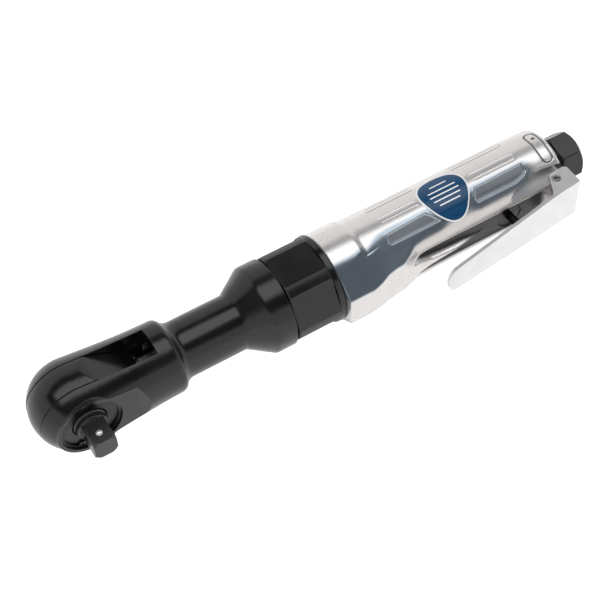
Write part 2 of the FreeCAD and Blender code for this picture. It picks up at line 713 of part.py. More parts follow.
def inlet_bushing():
    # Hexagon inlet piece with a quarter-inch pipe thread in its rear.
    hexagon_part = prism_x(hexagon(INLET_FLATS, 12.0), HEX_FRONT, HEX_REAR)
    chamfers = turned([(HEX_FRONT, 0), (HEX_FRONT, 9.9), (HEX_FRONT + 1.0, 10.95), (HEX_REAR - 1.5, 10.95),
                       (HEX_REAR, 9.2), (HEX_REAR, 0)])
    body = hexagon_part.common(chamfers)
    neck = turned([(204.5, 0), (204.5, 7.6), (205.0, 8.15), (HOUSING_REAR, 8.15),
                   (HOUSING_REAR + 1.0, 8.15), (HOUSING_REAR + 1.0, 9.6), (225.0, 9.6), (225.0, 8.8),
                   (HEX_FRONT + 0.2, 8.8), (HEX_FRONT + 0.2, 0)])
    body = body.fuse(neck)
    body = body.cut(axis_cylinder(INLET_MINOR, 224.6, HEX_REAR + 1))
    mouth = turned([(HEX_REAR - 1.0, 0), (HEX_REAR - 1.0, INLET_MINOR), (HEX_REAR, 6.7), (HEX_REAR, 0)])
    body = body.cut(mouth)
    body = body.cut(axis_cylinder(4.6, 203, 226))
    return body.cut(axis_cylinder(5.3, 222.4, 225)).removeSplitter()


def inlet_screen():
    # Dished gauze strainer in the inlet.
    cup = tube(4.5, 4.0, 216.0, 222.6).fuse(axis_cylinder(4.5, 215.4, 216.2))
    brim = tube(5.25, 4.0, 222.5, 223.2)
    screen = cup.fuse(brim)
    for i in range(-2, 3):
        for j in range(-2, 3):
            if i * i + j * j < 6:
                hole = Part.makeCylinder(0.45, 3, V(214.5, 1.4 * i, 1.4 * j), V(1, 0, 0))
                screen = screen.cut(hole)
    return screen.removeSplitter()


def inlet_seal():
    # Sealing ring under the inlet bushing's shoulder.
    return tube(9.5, 8.25, HOUSING_REAR + 0.03, HOUSING_REAR + 0.97)


def valve_bushing():
    # Guide and seat of the throttle valve, sunk below the lever.
    body = cross_cylinder(5.55, -14.6, -8.4, VALVE_X)
    body = body.cut(cross_cylinder(1.8 + RUNNING_GAP, -25, 0, VALVE_X))
    return body.cut(cross_cylinder(3.4, -12.4, 0, VALVE_X)).cut(axis_port())


def axis_port():
    # Side port through the valve bushing.
    return Part.makeCylinder(1.9, 14, V(VALVE_X - 7, -10.4, 0), V(1, 0, 0))


STEM_END = -23.9


def throttle_valve_stem():
    # Push stem with the valve head inside the housing.
    stem = cross_cylinder(1.8, STEM_END + 1.2, -6.0, VALVE_X)
    dome = Part.makeSphere(1.8, V(VALVE_X, STEM_END + 1.8, 0))
    neck_cut = cross_cylinder(3, -11.6, -8.4, VALVE_X).cut(cross_cylinder(1.3, -12, -8, VALVE_X))
    head = cross_cylinder(4.6, -7.3, -4.6, VALVE_X)
    spigot = cross_cylinder(1.9, -4.7, -1.8, VALVE_X)
    stem = stem.fuse(dome).cut(neck_cut).fuse(head).fuse(spigot)
    return stem.removeSplitter()


def throttle_valve_seal():
    # Rubber ring on the valve head's front face.
    ring = cross_cylinder(4.5, -8.35, -7.35, VALVE_X)
    return ring.cut(cross_cylinder(2.0, -9, -7, VALVE_X))


def throttle_valve_spring():
    # Coil that closes the valve, at its shortest working length.
    spring = coil(3.0, 0.4, 0.0, 8.0, 6, 0, 0)
    spring.rotate(V(0, 0, 0), V(1, 0, 0), -90)
    spring.translate(V(VALVE_X, -0.7, 0))
    return spring


def lever_outline():
    # Side view of the lever's flange, (x, y), hinge end.
    return [(215.9, -12.3), (223.4, -11.6), (224.8, -12.8), (224.8, -20.6), (213.0, -22.4), (211.3, -21.9)]


def lever_plate_width(x):
    # Half width of the broad face, it tapers towards the tip.
    if x > 212:
        return LEVER_HALF
    return LEVER_HALF - (212 - x) * (LEVER_HALF - LEVER_TIP_HALF) / (212 - LEVER_TIP_X)


def throttle_lever():
    # Bent sheet lever: broad face away from the housing, two flanges at the hinge.
    slope = math.tan(math.radians(LEVER_OPEN_ANGLE))
    heel_x, heel_y = 213.0, -21.6
    tip_x = LEVER_TIP_X - 5.0
    tip_y = heel_y - (heel_x - tip_x) * slope
    rise = SHEET / math.cos(math.radians(LEVER_OPEN_ANGLE))
    side = [(224.8, heel_y + 1.2), (heel_x, heel_y), (tip_x, tip_y), (tip_x, tip_y - rise),
            (heel_x, heel_y - rise), (224.8, heel_y + 1.2 - SHEET)]
    sheet = prism_z(side, -LEVER_HALF, LEVER_HALF)
    plan = []
    for x in (226.0, 212.0, LEVER_TIP_X):
        plan.append((x, lever_plate_width(x)))
    for angle in range(15, 180, 15):
        across = math.cos(math.radians(angle))
        plan.append((LEVER_TIP_X - 4.2 * math.sin(math.radians(angle)), LEVER_TIP_HALF * across))
    for x in (LEVER_TIP_X, 212.0, 226.0):
        plan.append((x, -lever_plate_width(x)))
    sheet = sheet.common(prism_y(plan, -50, 0))
    for sign in (-1, 1):
        z_from, z_to = (LEVER_HALF - SHEET, LEVER_HALF) if sign > 0 else (-LEVER_HALF, -LEVER_HALF + SHEET)
        flange = prism_z(lever_outline(), z_from, z_to)
        sheet = sheet.fuse(flange)
    hole = pin_cylinder(2.0 + RUNNING_GAP, -20, 20, PIN_X, PIN_Y)
    return sheet.cut(hole).removeSplitter()


def lever_pin():
    # Hollow slotted spring pin through lever and housing.
    pin = pin_cylinder(2.0, -LEVER_HALF, LEVER_HALF, PIN_X, PIN_Y)
    pin = pin.cut(pin_cylinder(1.25, -20, 20, PIN_X, PIN_Y))
    return pin.cut(block(PIN_X, PIN_X + 5, PIN_Y - 0.25, PIN_Y + 0.25, -20, 20))


def side_label():
    # Thin pick-shaped plate on the +Z side.
    centre_x = 170.5
    points = []
    for i in range(36):
        angle = math.radians(10 * i)
        reach = 10.6 + 0.7 * math.cos(3 * angle)
        points.append((centre_x + reach * math.sin(angle), -2.4 - reach * 0.98 * math.cos(angle)))
    return prism_z(points, 5, 25).common(label_shell())


def label_shell():
    # Skin 0.25 thick just over the housing's surface near the label.
    outer = []
    inner = []
    for x in (150.0, 205.0):
        outer.append(housing_section(x, BODY_RADIUS - 0.80, -18.3, 8.8, -4.2))
        inner.append(housing_section(x, BODY_RADIUS - 1.07, -18.05, 8.65, -4.2))
    return Part.makeLoft(outer, True, True).cut(Part.makeLoft(inner, True, True))


def all_parts():
    # Every sub-part by node name.
    parts = {
        "ratchet_head": ratchet_head(),
        "retaining_ring": retaining_ring(),
        "thrust_plate": thrust_plate(),
        "ratchet_yoke": ratchet_yoke(),
        "ratchet_anvil": ratchet_anvil(),
        "ratchet_pawl": ratchet_pawl(),
        "pawl_pin": pawl_pin(),
        "detent_ball": detent_ball(),
        "detent_spring": detent_spring(),
        "reverse_knob": reverse_knob(),
        "pawl_plunger": pawl_plunger(),
        "plunger_spring": plunger_spring(),
        "crankshaft": crankshaft(),
        "drive_bushing": drive_bushing(),
        "crank_front_bearing": needle_bearing(44.0, 54.0),
        "crank_rear_bearing": needle_bearing(63.0, 73.0),
        "planet_gear_1": planet_gear(0),
        "planet_gear_2": planet_gear(1),
        "planet_gear_3": planet_gear(2),
        "planet_pins": planet_pins(),
        "ring_gear": ring_gear(),
        "gear_washer": gear_washer(),
        "spacer_plate": spacer_plate(),
        "front_end_plate": front_end_plate(),
        "rear_end_plate": rear_end_plate(),
        "front_bearing_outer": bearing_outer(PLATE_FRONT + 0.05),
        "front_bearing_inner": bearing_inner(PLATE_FRONT + 0.05),
        "front_bearing_balls": bearing_balls(PLATE_FRONT + 0.05),
        "rear_bearing_outer": bearing_outer(PLATE_REAR - 4.1),
        "rear_bearing_inner": bearing_inner(PLATE_REAR - 4.1),
        "rear_bearing_balls": bearing_balls(PLATE_REAR - 4.1),
        "motor_cylinder": motor_cylinder(),
        "cylinder_dowel": cylinder_dowel(),
        "motor_rotor": motor_rotor(),
        "rotor_blade_1": rotor_blade(0),
        "rotor_blade_2": rotor_blade(1),
        "rotor_blade_3": rotor_blade(2),
        "rotor_blade_4": rotor_blade(3),
        "clamp_nut": clamp_nut(),
        "nut_ring": nut_ring(),
        "motor_housing": motor_housing(),
        "inlet_bushing": inlet_bushing(),
        "inlet_screen": inlet_screen(),
        "inlet_seal": inlet_seal(),
        "valve_bushing": valve_bushing(),
        "throttle_valve_stem": throttle_valve_stem(),
        "throttle_valve_seal": throttle_valve_seal(),
        "throttle_valve_spring": throttle_valve_spring(),
        "throttle_lever": throttle_lever(),
        "lever_pin": lever_pin(),
        "side_label": side_label(),
    }
    return parts


for name, shape in all_parts().items():
    shape.translate(V(0, DRIVE_ROOT, 0))
    if not shape.isValid():
        print("not valid:", name)
    shape.exportStep("parts/" + name + ".step")
    print(name, len(shape.Solids), round(shape.Volume, 1))
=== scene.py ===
import json
import math

import bpy
import numpy as np
from mathutils import Matrix, Vector


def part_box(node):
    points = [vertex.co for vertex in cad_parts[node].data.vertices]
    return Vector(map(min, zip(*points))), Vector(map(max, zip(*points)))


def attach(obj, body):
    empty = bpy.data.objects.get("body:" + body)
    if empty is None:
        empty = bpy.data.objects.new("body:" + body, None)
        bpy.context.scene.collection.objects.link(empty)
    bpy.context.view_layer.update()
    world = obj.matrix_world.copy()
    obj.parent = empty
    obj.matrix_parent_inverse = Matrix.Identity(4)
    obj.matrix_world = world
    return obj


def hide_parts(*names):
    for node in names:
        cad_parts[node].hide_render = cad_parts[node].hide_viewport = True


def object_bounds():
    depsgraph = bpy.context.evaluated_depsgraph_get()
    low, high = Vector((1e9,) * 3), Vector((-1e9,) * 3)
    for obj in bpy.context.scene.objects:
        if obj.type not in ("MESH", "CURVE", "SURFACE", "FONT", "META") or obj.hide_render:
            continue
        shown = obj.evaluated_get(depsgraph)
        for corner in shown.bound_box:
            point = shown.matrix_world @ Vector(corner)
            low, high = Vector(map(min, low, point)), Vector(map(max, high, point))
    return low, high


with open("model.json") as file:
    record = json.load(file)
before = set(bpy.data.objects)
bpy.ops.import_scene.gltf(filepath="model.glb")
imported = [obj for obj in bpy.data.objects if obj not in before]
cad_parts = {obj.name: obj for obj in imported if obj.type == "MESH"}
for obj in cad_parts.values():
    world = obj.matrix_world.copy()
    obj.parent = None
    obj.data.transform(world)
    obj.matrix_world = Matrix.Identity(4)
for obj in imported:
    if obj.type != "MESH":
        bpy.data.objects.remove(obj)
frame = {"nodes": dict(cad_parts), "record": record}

# Looks of a compressed-air ratchet wrench. Shape functions work in millimetres about the tool
# axis: x along the tool, angle 0 at the lever side and 90 at the label side. Meshes are in metres.

MM = 0.001
CAD_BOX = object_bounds()
NODES = frame["nodes"]
NUT_LOW, NUT_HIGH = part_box("clamp_nut")
RING_LOW, RING_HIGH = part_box("nut_ring")
BODY_LOW, BODY_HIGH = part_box("motor_housing")
VALVE_LOW, VALVE_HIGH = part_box("throttle_valve_stem")
AXIS_Y = (NUT_LOW.y + NUT_HIGH.y) / 2
FRONT = RING_HIGH.x / MM + 0.1
REAR = BODY_HIGH.x / MM
SPIGOT_FRONT = BODY_LOW.x / MM
SPIGOT_RADIUS = 16.6
VALVE_X = (VALVE_LOW.x + VALVE_HIGH.x) / 2 / MM


# ---------------------------------------------------------------- small maths

def step(value, start, end):
    # Smooth rise from 0 at start to 1 at end.
    t = np.clip((value - start) / (end - start), 0.0, 1.0)
    return t * t * (3.0 - 2.0 * t)


def mix(low, high, share):
    return low + (high - low) * share


def soft_min(first, second, width):
    # The lower of two heights with the crease rounded over the width.
    share = np.clip(0.5 + 0.5 * (second - first) / width, 0.0, 1.0)
    return mix(second, first, share) - width * share * (1.0 - share)


def through(x, stations, width=1.6):
    # Curve through (x, value) stations with its kinks rounded.
    places = np.array([s[0] for s in stations])
    values = np.array([s[1] for s in stations])
    total = 0.0
    shifts = np.linspace(-width, width, 9)
    for shift in shifts:
        total = total + np.interp(x + shift, places, values)
    return total / len(shifts)


def outline_distance(px, py, corners):
    # Distance to a closed outline, negative inside.
    nearest = np.full(np.broadcast(px, py).shape, 1e9)
    inside = np.zeros(nearest.shape, bool)
    count = len(corners)
    for i in range(count):
        ax, ay = corners[i]
        bx, by = corners[(i + 1) % count]
        along = ((px - ax) * (bx - ax) + (py - ay) * (by - ay)) / ((bx - ax) ** 2 + (by - ay) ** 2)
        along = np.clip(along, 0.0, 1.0)
        gap = np.hypot(px - ax - along * (bx - ax), py - ay - along * (by - ay))
        nearest = np.minimum(nearest, gap)
        if abs(by - ay) > 1e-9:
            crosses = ((ay > py) != (by > py)) & (px < (bx - ax) * (py - ay) / (by - ay) + ax)
            inside ^= crosses
    return np.where(inside, -nearest, nearest)


def line_distance(px, py, points):
    # Distance to an open line through points.
    nearest = np.full(np.broadcast(px, py).shape, 1e9)
    for i in range(len(points) - 1):
        ax, ay = points[i]
        bx, by = points[i + 1]
        along = ((px - ax) * (bx - ax) + (py - ay) * (by - ay)) / ((bx - ax) ** 2 + (by - ay) ** 2)
        along = np.clip(along, 0.0, 1.0)
        nearest = np.minimum(nearest, np.hypot(px - ax - along * (bx - ax), py - ay - along * (by - ay)))
    return nearest


# ---------------------------------------------------------------- housing shape

BARREL_RADIUS = 18.6
GRIP_RADIUS = 17.6
REAR_RADIUS = 16.9
FLAT_ANGLE = 53.5
GRIP_FLAT_ANGLE = 58.0
GRIP_FLAT_REACH = 17.0
ARC = math.radians(1.0) * 17.4
FLOOR_REACH = 14.9

LOWER_REACH = [(110, 22.9), (123, 22.9), (127, 21.9), (131.5, 20.4), (135.5, 19.9), (139.5, 19.8),
               (142.5, 19.1), (147, 17.95), (151.5, 17.7), (165, 17.5), (230, 17.2)]
TOP_REACH = [(110, BARREL_RADIUS), (124.6, BARREL_RADIUS), (127.2, 17.85), (137, GRIP_RADIUS),
             (207, GRIP_RADIUS), (230, REAR_RADIUS)]
FLAT_REACH = [(110, BARREL_RADIUS), (122, BARREL_RADIUS), (137, GRIP_FLAT_REACH), (230, GRIP_FLAT_REACH)]

FRONT_PANEL = [(137.8, 68), (157.4, 71), (159.6, 64), (162.0, 52.5), (138.6, 52), (137.4, 55)]
REAR_PANEL = [(182.0, 71.5), (205.8, 73), (206.4, 60), (204.2, 55), (200.0, 51.5), (180.2, 51.5),
              (179.8, 56.5)]
GROOVES = [
    [(138.5, 93), (157.0, 93)],
    [(140.0, 84.5), (156.5, 84.5)],
    [(138.0, 116), (160.0, 116)],
    [(183.5, 91.7), (204.2, 91.7), (205.6, 89.5), (205.6, 83.6), (204.2, 81.4), (184.5, 81.4)],
    [(180.0, 117), (204.0, 117), (205.5, 119), (205.5, 124), (204.0, 126), (180.0, 126)],
    [(139.0, 126), (160.0, 126)],
]
GROOVE_HALF = 0.3
GROOVE_DEPTH = 0.22
PANEL_DEPTH = 0.6
POCKET_WALL = 8.3
STADIUM_X = 217.8
STADIUM_HALF = 2.55
STADIUM_FROM = 57.0
STADIUM_TO = 114.0


GRIP_START = 122.0
GRIP_FULL = 136.0
BARREL_CORNER = 0.952
ROUND_FROM = 124.0
ROUND_TO = 149.0
CHANNEL_FRONT = 143.4
CHANNEL_EDGE = (19.0, 25.5)
CHANNEL_REAR = (209.0, 215.0)
RIB_STATIONS = (144.0, 148.7, 153.6, 161.0, 167.0, 182.0)
RIB_HALF_ANGLES = (13.5, 11.0, 7.0, 4.0, 2.2, 0.8)
RIB_SINKS = (165.0, 184.0)
RIB_SOFTNESS = 2.2
POCKET_RIM = [(193, -18.5), (195, -14.6), (197.5, -12.9), (202, -11.3), (206.5, -10.6), (213, -10.4),
              (218, -10.9), (224, -11.6)]
EXHAUST_COUNT = 5
EXHAUST_FIRST = 119.0
EXHAUST_PITCH = 4.2
EXHAUST_HALF = (1.0, 6.5)
EXHAUST_DEPTH = 4.2
VALVE_HOLE = (5.5, 5.65)
VALVE_SHADE = (6.0, 6.4)
VALVE_FLOOR = 4.4
REAR_ROUND = 1.5
FRONT_ROUND = 0.5
INLET_BORE = 8.3
AIR_BORE = 4.2
CHAMBER_BORE = 8.0
MOTOR_BORE = 12.9
SHEET_RINGS = 22


def on_sheet(points):
    # (x, angle) corners as millimetres on the unrolled housing.
    return [(x, angle * ARC) for x, angle in points]


def side_angle(angle):
    # Angle from the lever side, 0 to 180, the same on both sides.
    wrapped = np.mod(angle, 360.0)
    return np.minimum(wrapped, 360.0 - wrapped)


def slanted_side(x, angle):
    # Radius of the slanted flat side, the angle it faces, and how far the grip has begun.
    grip = step(x, GRIP_START, GRIP_FULL)
    flat_angle = mix(FLAT_ANGLE, GRIP_FLAT_ANGLE, grip)
    plain = np.maximum(step(x, 160.0, 168.0) * (1 - step(x, 174.0, 181.0)), step(x, 207.0, 214.0))
    reach = mix(through(x, FLAT_REACH, 3.0), through(x, TOP_REACH, 0.7), plain * grip)
    slant = reach / np.cos(np.radians(np.clip(side_angle(angle) - flat_angle, -60, 60)))
    return slant, flat_angle, grip


def smooth_reach(x, angle):
    # Housing radius without its recesses.
    a = side_angle(angle)
    top = through(x, TOP_REACH, 0.7)
    slant, flat_angle, grip = slanted_side(x, angle)
    upper = np.where(a < flat_angle, slant, soft_min(slant, top + 0.0 * a, 0.02 + 0.48 * grip))
    upper = np.where(a > flat_angle + 35, top, upper)
    lower = through(x, LOWER_REACH, 0.8)
    roundness = step(x, ROUND_FROM, ROUND_TO)
    lower = lower * mix(BARREL_CORNER / np.cos(np.radians(np.minimum(a, 55.0))), 1.0, roundness)
    lower = lower + 12.0 * step(a, 58.0, 76.0)
    return soft_min(upper, lower, mix(0.25, 0.9, roundness))


def facet_share(x, angle):
    # 1 on the slanted flat side, 0 on the round top and on the lever side.
    slant = slanted_side(x, angle)[0]
    return (1.0 - step(slant - smooth_reach(x, angle), 0.1, 0.55)) * (1.0 - step(x, 205.0, 212.0))


def channel_share(x, angle):
    # 1 on the floor of the lever channel, with a centre rib that sinks away from the front.
    a = side_angle(angle)
    side = 1.0 - step(a, *CHANNEL_EDGE)
    rib_half = np.interp(x, RIB_STATIONS, RIB_HALF_ANGLES)
    rib = (1.0 - step(x, *RIB_SINKS)) * (1.0 - step(a - rib_half, -RIB_SOFTNESS, RIB_SOFTNESS))
    length = step(x, CHANNEL_FRONT - 0.2, 150.5) * (1.0 - step(x, *CHANNEL_REAR))
    nose = step(x - CHANNEL_FRONT, 0.0, 1.0 + 9.0 * step(a, 12.0, 24.0))
    return side * (1.0 - rib) * length * nose


def panel_shares(x, angle):
    # 1 inside a recessed panel, and 1 on the narrow bead round it.
    a = side_angle(angle)
    floor = 0.0
    bead = 0.0
    for corners in (FRONT_PANEL, REAR_PANEL):
        gap = outline_distance(x, a * ARC, on_sheet(corners))
        floor = np.maximum(floor, 1.0 - step(gap, -0.75, 0.0))
        bead = np.maximum(bead, step(gap, -0.2, 0.15) * (1.0 - step(gap, 0.25, 0.7)))
    return floor, bead


def groove_share(x, angle):
    # 1 along the bottom of the thin grooves.
    a = side_angle(angle)
    share = 0.0
    for points in GROOVES:
        gap = line_distance(x, a * ARC, on_sheet(points))
        share = np.maximum(share, 1.0 - step(gap, 0.05, GROOVE_HALF + 0.15))
    return share


def pocket_share(x, y):
    # 1 inside the half-moon clearance for a lever flange, in side view.
    rim = through(x, POCKET_RIM, 0.6)
    return (1.0 - step(y, rim - 0.35, rim + 0.1)) * step(x, 194.0, 194.8)


def stadium_gap(x, angle, grow=0.0):
    # Distance to the raised stadium outline on the label side.
    wrapped = np.mod(angle, 360.0)
    middle = np.clip(wrapped, STADIUM_FROM + STADIUM_HALF / ARC, STADIUM_TO - STADIUM_HALF / ARC)
    return np.hypot(x - STADIUM_X, (wrapped - middle) * ARC) - STADIUM_HALF - grow


def exhaust_share(x, y, z):
    # 1 inside the exhaust slots on the side away from the lever.
    share = 0.0
    for i in range(EXHAUST_COUNT):
        centre = EXHAUST_FIRST + EXHAUST_PITCH * i
        gap = np.maximum(np.abs(x - centre) - EXHAUST_HALF[0], np.abs(z) - EXHAUST_HALF[1])
        share = np.maximum(share, 1.0 - step(gap, -0.35, 0.05))
    return np.where(y > 8.0, share, 0.0)


def housing_reach(x, angle):
    # Radius of the finished housing, how polished (with painted shade in the recesses), how dark
    # (painted shade), and how much painted dark reflection the slanted side facet gets.
    reach = smooth_reach(x, angle)
    # The polish share also carries painted shade: where it drops in recesses the colour turns to the
    # darker cast colour.
    polish_and_shade = np.ones_like(reach)
    dark = np.zeros_like(reach)
    radians = np.radians(angle)
    a = side_angle(angle)
    channel = channel_share(x, angle)
    floor = FLOOR_REACH / np.cos(np.radians(np.minimum(a, 60.0)))
    reach = mix(reach, np.minimum(reach, floor), channel)
    # Painted shade and dark reflection along the lever channel floor.
    polish_and_shade = polish_and_shade * (1.0 - 0.7 * step(channel, 0.4, 0.9))
    dark = np.maximum(dark, step(channel, 0.45, 0.95))
    panel, bead = panel_shares(x, angle)
    reach = reach - PANEL_DEPTH * panel + 0.1 * bead
    # Recessed panel floors: duller cast finish, darkened as painted shade.
    polish_and_shade = polish_and_shade * (1.0 - 0.8 * panel)
    grooves = groove_share(x, angle)
    reach = reach - GROOVE_DEPTH * grooves
    # Grooves darkened as painted shade.
    polish_and_shade = polish_and_shade * (1.0 - 0.6 * grooves)
    outline = stadium_gap(x, angle)
    ridge = 1.0 - step(np.abs(outline), 0.15, 0.42)
    reach = reach - 0.2 * ridge + 0.1 * (1.0 - step(outline, -0.7, -0.35))
    # Painted shade along the stadium's outline groove.
    painted_outline_shade = 1.0 - step(np.abs(outline), 0.24, 0.44)
    polish_and_shade = polish_and_shade * (1.0 - painted_outline_shade)
    dark = np.maximum(dark, painted_outline_shade)
    y = -reach * np.cos(radians)
    z = reach * np.sin(radians)
    pocket = pocket_share(x, y) * step(np.abs(z), POCKET_WALL - 0.3, POCKET_WALL)
    wall = POCKET_WALL / np.maximum(np.abs(np.sin(radians)), 0.2)
    reach = mix(reach, np.minimum(reach, wall), pocket)
    # Painted shade in the lever pocket.
    polish_and_shade = polish_and_shade * (1.0 - 0.35 * pocket)
    exhaust = exhaust_share(x, y, z)
    reach = reach - EXHAUST_DEPTH * exhaust
    # Painted shade inside the exhaust slots.
    polish_and_shade = polish_and_shade * (1.0 - exhaust)
    dark = np.maximum(dark, exhaust)
    valve = np.hypot(x - VALVE_X, z)
    hole = (1.0 - step(valve, *VALVE_HOLE)) * (y < 0)
    reach = mix(reach, VALVE_FLOOR, hole)
    dark = np.maximum(dark, (1.0 - step(valve, *VALVE_SHADE)) * (y < 0))
    rear = np.clip((x - (REAR - REAR_ROUND)) / REAR_ROUND, 0.0, 1.0)
    reach = reach - REAR_ROUND * (1.0 - np.sqrt(np.maximum(1.0 - rear * rear, 0.0)))
    front = np.clip((FRONT + FRONT_ROUND - x) / FRONT_ROUND, 0.0, 1.0)
    reach = reach - FRONT_ROUND * (1.0 - np.sqrt(np.maximum(1.0 - front * front, 0.0)))
    # Painted reflection: a cool blue-grey colour on the slanted facet stands in for the dark
    # surroundings it reflects.
    painted_reflection = facet_share(x, angle) * polish_and_shade * (1.0 - dark)
    return reach, polish_and_shade, dark, painted_reflection


def housing_rows(angles):
    # Rings of (x, radius, polish with painted shade, dark painted shade, painted facet reflection) round
    # the skin: spigot, outside, rear face, bores.
    pitch = 0.4
    ones = np.ones_like(angles)
    none = np.zeros_like(angles)
    rows = []
    for x, radius in ((SPIGOT_FRONT, 13.0), (SPIGOT_FRONT, SPIGOT_RADIUS - 0.5),
                      (SPIGOT_FRONT + 0.5, SPIGOT_RADIUS), (FRONT, SPIGOT_RADIUS)):
        rows.append((x, radius * ones, ones, none, none))
    stations = list(np.arange(FRONT, REAR, pitch)) + [REAR - 0.15, REAR]
    stations = sorted(set(round(s, 4) for s in stations + [FRONT + 0.12, FRONT + 0.25]))
    for x in stations:
        rows.append((x,) + housing_reach(np.full_like(angles, x), angles))
    for x, radius in ((REAR, INLET_BORE), (203.2, INLET_BORE), (203.0, AIR_BORE), (176.0, AIR_BORE),
                      (175.8, CHAMBER_BORE), (160.6, CHAMBER_BORE), (160.4, MOTOR_BORE),
                      (140.0, MOTOR_BORE), (120.0, MOTOR_BORE)):
        rows.append((x, radius * ones, none, none, none))
    return rows


def ring_mesh(name, rows, angles):
    # Closed ring-shaped mesh from rows of radii, with the surface shares kept on its points.
    points = []
    shares = {"polish_and_shade": [], "dark": [], "painted_reflection": []}
    radians = np.radians(angles)
    for x, reach, *surface in rows:
        y = -reach * np.cos(radians) * MM + AXIS_Y
        z = reach * np.sin(radians) * MM
        points.append(np.stack([np.full_like(y, x * MM), y, z], axis=1))
        for values, value in zip(shares.values(), surface):
            values.append(value)
    count = len(angles)
    total = len(rows)
    grid = np.arange(total * count).reshape(total, count)
    low = grid
    high = np.roll(grid, -1, axis=0)
    faces = np.stack([low, np.roll(low, -1, axis=1), np.roll(high, -1, axis=1), high], axis=2)
    mesh = bpy.data.meshes.new(name)
    mesh.from_pydata(np.concatenate(points).tolist(), [], faces.reshape(-1, 4).tolist())
    for key, values in shares.items():
        layer = mesh.attributes.new(key, "FLOAT", "POINT")
        layer.data.foreach_set("value", np.concatenate(values).astype(np.float32))
    mesh.validate()
    return link(name, mesh)


def link(name, mesh):
    # Scene object for a mesh.
    item = bpy.data.objects.new(name, mesh)
    bpy.context.scene.collection.objects.link(item)
    return item


def shade_smooth(item, degrees=32.0):
    # Smooth faces with creases kept sharp.
    item.data.polygons.foreach_set("use_smooth", [True] * len(item.data.polygons))
    item.data.set_sharp_from_angle(angle=math.radians(degrees))


def housing_skin():
    # The die-cast handle.
    angles = np.arange(0.0, 360.0, 0.75)
    item = ring_mesh("handle_casting", housing_rows(angles), angles)
    shade_smooth(item, 40.0)
    return item


# ---------------------------------------------------------------- sheets on the housing

def sheet_on_housing(name, corners, thickness, lift):
    # Thin closed plate over the housing, corners are (x, angle); it bridges the recesses below.
    middle_x = sum(c[0] for c in corners) / len(corners)
    middle_angle = sum(c[1] for c in corners) / len(corners)
    rings = SHEET_RINGS
    vertices = []
    for level in (lift + thickness, lift):
        vertices.append((middle_x, middle_angle, level))
        for ring in range(1, rings + 1):
            share = ring / rings
            for x, angle in corners:
                soft = level - (0.06 if ring == rings and level > lift else 0.0)
                vertices.append((middle_x + (x - middle_x) * share,
                                 middle_angle + (angle - middle_angle) * share, soft))
    count = len(corners)
    layer = 1 + rings * count
    faces = []
    for side in (0, 1):
        base = side * layer
        for i in range(count):
            nxt = (i + 1) % count
            fan = (base, base + 1 + i, base + 1 + nxt)
            faces.append(fan if side else fan[::-1])
            for ring in range(rings - 1):
                a = base + 1 + ring * count
                quad = (a + i, a + count + i, a + count + nxt, a + nxt)
                faces.append(quad if side else quad[::-1])
    rim = 1 + (rings - 1) * count
    for i in range(count):
        nxt = (i + 1) % count
        faces.append((rim + i, rim + nxt, layer + rim + nxt, layer + rim + i))
    placed = []
    for x, angle, level in vertices:
        reach = float(smooth_reach(np.array([x]), np.array([angle]))[0]) + level
        turn = math.radians(angle)
        placed.append((x * MM, -reach * math.cos(turn) * MM + AXIS_Y, reach * math.sin(turn) * MM))
    mesh = bpy.data.meshes.new(name)
    mesh.from_pydata(placed, [], faces)
    mesh.validate()
    item = link(name, mesh)
    shade_smooth(item, 40.0)
    return item


DROP_X = 217.8
DROP_ANGLE = 100.0
LABEL_X = 169.6
LABEL_ANGLE = 81.0
LABEL_HALF_X = 10.8
LABEL_HALF_ARC = 11.6
LABEL_LINE_HALF = 0.9
RIM_LIFT = 0.03
RIM_THICKNESS = 0.22
FIELD_SCALE = 0.945
FIELD_LIFT = 0.22
FIELD_THICKNESS = 0.12
LINE_LIFT = 0.29
DROP_LIFT = 0.08
DROP_THICKNESS = 0.08
LABEL_LINES = [(4.0, 100.0), (6.6, 91.0), (7.0, 84.0), (6.4, 77.0), (5.0, 70.0)]


def pick_outline(scale, count=96):
    # Rounded three-cornered outline with its narrow end towards the lever, (x, angle).
    corners = []
    for i in range(count):
        turn = 2 * math.pi * i / count
        reach = 1.0 + 0.055 * math.cos(3 * turn)
        x = LABEL_X + LABEL_HALF_X * scale * reach * math.sin(turn) * (1 - 0.1 * math.cos(turn))
        arc = -LABEL_HALF_ARC * scale * reach * math.cos(turn)
        corners.append((x, LABEL_ANGLE + arc / ARC))
    return corners


def label_bar(name, x_from, x_to, middle, lift):
    # Plain printed line on the label.
    low = middle - LABEL_LINE_HALF
    high = middle + LABEL_LINE_HALF
    corners = []
    for i in range(13):
        corners.append((mix(x_from, x_to, i / 12), low))
    for i in range(1, 12):
        corners.append((x_to, mix(low, high, i / 12)))
    for i in range(13):
        corners.append((mix(x_to, x_from, i / 12), high))
    for i in range(1, 12):
        corners.append((x_from, mix(high, low, i / 12)))
    return sheet_on_housing(name, corners, 0.12, lift)


def drop_outline():
    # Plain oil drop, point towards the inlet.
    corners = []
    for i in range(40):
        turn = 2 * math.pi * i / 40
        bulge = 0.95 * math.sin(turn / 2) ** 1.5
        x = DROP_X - 1.1 * math.cos(turn)
        arc = bulge * math.sin(turn)
        corners.append((x, DROP_ANGLE + arc / ARC))
    return corners


# ---------------------------------------------------------------- node materials

